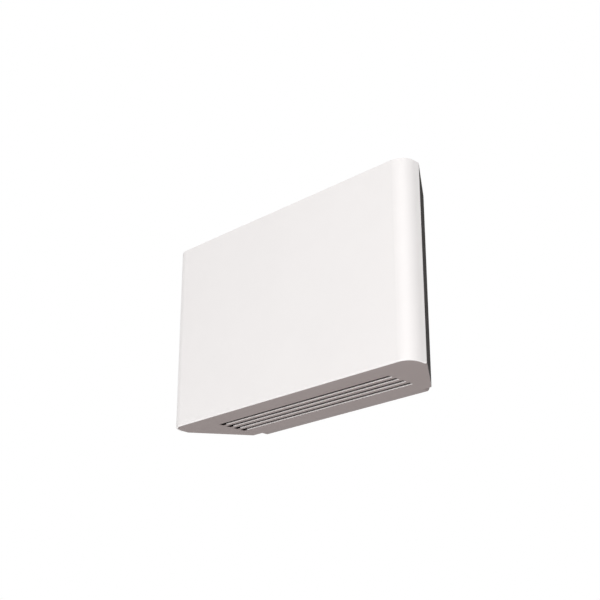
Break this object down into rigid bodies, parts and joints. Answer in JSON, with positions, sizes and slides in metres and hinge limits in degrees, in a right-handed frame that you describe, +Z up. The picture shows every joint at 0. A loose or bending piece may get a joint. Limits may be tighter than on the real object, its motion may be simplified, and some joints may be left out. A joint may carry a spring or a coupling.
{
  "type": "wall-mounted fan heater",
  "caption": "Wall-mounted fan heater: white front cover with rounded sides, tapered dark housing, slotted outlet underneath, cross-flow blower and finned element inside.",
  "frame": {"origin": "middle of the four wall fixing holes, on the wall's face", "axes": "+X to the right seen from the front, +Y into the wall, +Z up"},
  "size_m": [0.44, 0.12, 0.2818],
  "materials": {
    "white_cover": "warm white gloss moulding",
    "dark_housing": "anthracite fine-textured moulding",
    "taupe_plate": "taupe grey fine-textured moulding",
    "filter_foam": "open-cell foam",
    "bracket_paint": "grey powder coat",
    "plated_steel": "zinc plated",
    "zinc_sheet": "galvanised sheet",
    "impeller_plastic": "black glass-filled plastic",
    "ground_steel": "ground bar",
    "sintered_bronze": "oiled sintered bronze",
    "black_rubber": "moulded rubber",
    "core_steel": "stacked laminations",
    "coil_tape": "taped winding",
    "cast_zinc": "die casting",
    "element_metal": "finned heating rod",
    "white_ceramic": "steatite",
    "black_resin": "switch housing",
    "white_resin": "terminal moulding",
    "white_knob": "white moulding",
    "amber_lens": "tinted lens"
  },
  "bodies": {
    "casing": {"front_cover": "white_cover", "rear_housing": "dark_housing", "outlet_plate": "taupe_plate", "outlet_louvre": "white_knob", "top_plate": "taupe_plate", "wall_bracket": "bracket_paint", "cover_screws": "plated_steel", "blower_screws": "plated_steel", "motor_screws": "plated_steel", "lock_screw": "plated_steel", "blower_end_left": "zinc_sheet", "blower_end_right": "zinc_sheet", "scroll_wall": "zinc_sheet", "cutoff_wall": "zinc_sheet", "element_support": "zinc_sheet", "idler_bush": "sintered_bronze", "idler_mount": "black_rubber", "cable_grommet": "black_rubber", "motor_core": "core_steel", "motor_coil": "coil_tape", "motor_bridge_inner": "cast_zinc", "motor_bridge_outer": "cast_zinc", "heating_element": "element_metal", "element_insulators": "white_ceramic", "thermal_cutout": "black_resin", "thermostat_body": "black_resin", "timer_body": "black_resin", "switch_body": "black_resin", "terminal_block": "white_resin", "indicator_lens": "amber_lens"},
    "fan_rotor": {"impeller": "impeller_plastic", "idler_shaft": "ground_steel", "motor_shaft": "ground_steel", "motor_rotor": "core_steel"},
    "thermostat_control": {"thermostat_knob": "white_knob", "thermostat_spindle": "ground_steel"},
    "timer_control": {"timer_knob": "white_knob", "timer_spindle": "ground_steel"},
    "power_rocker": {"switch_rocker": "white_knob"},
    "filter_cassette": {"filter_frame": "taupe_plate", "filter_pad": "filter_foam"}
  },
  "joints": [
    {"name": "fan_spin", "type": "hinge", "parent": "casing", "child": "fan_rotor", "pos_m": [0, -0.067, -0.005], "axis": [1, 0, 0], "continuous": true},
    {"name": "thermostat_turn", "type": "hinge", "parent": "casing", "child": "thermostat_control", "pos_m": [0.112, -0.062, 0.134], "axis": [0, 0, -1], "range_deg": [0, 270]},
    {"name": "timer_turn", "type": "hinge", "parent": "casing", "child": "timer_control", "pos_m": [0.15, -0.062, 0.134], "axis": [0, 0, -1], "range_deg": [0, 300]},
    {"name": "power_rock", "type": "hinge", "parent": "casing", "child": "power_rocker", "pos_m": [0.18, -0.062, 0.1336], "axis": [-1, 0, 0], "range_deg": [0, 14]},
    {"name": "filter_lift", "type": "slide", "parent": "casing", "child": "filter_cassette", "axis": [0, 0, 1], "range_m": [0, 0.03]}
  ]
}
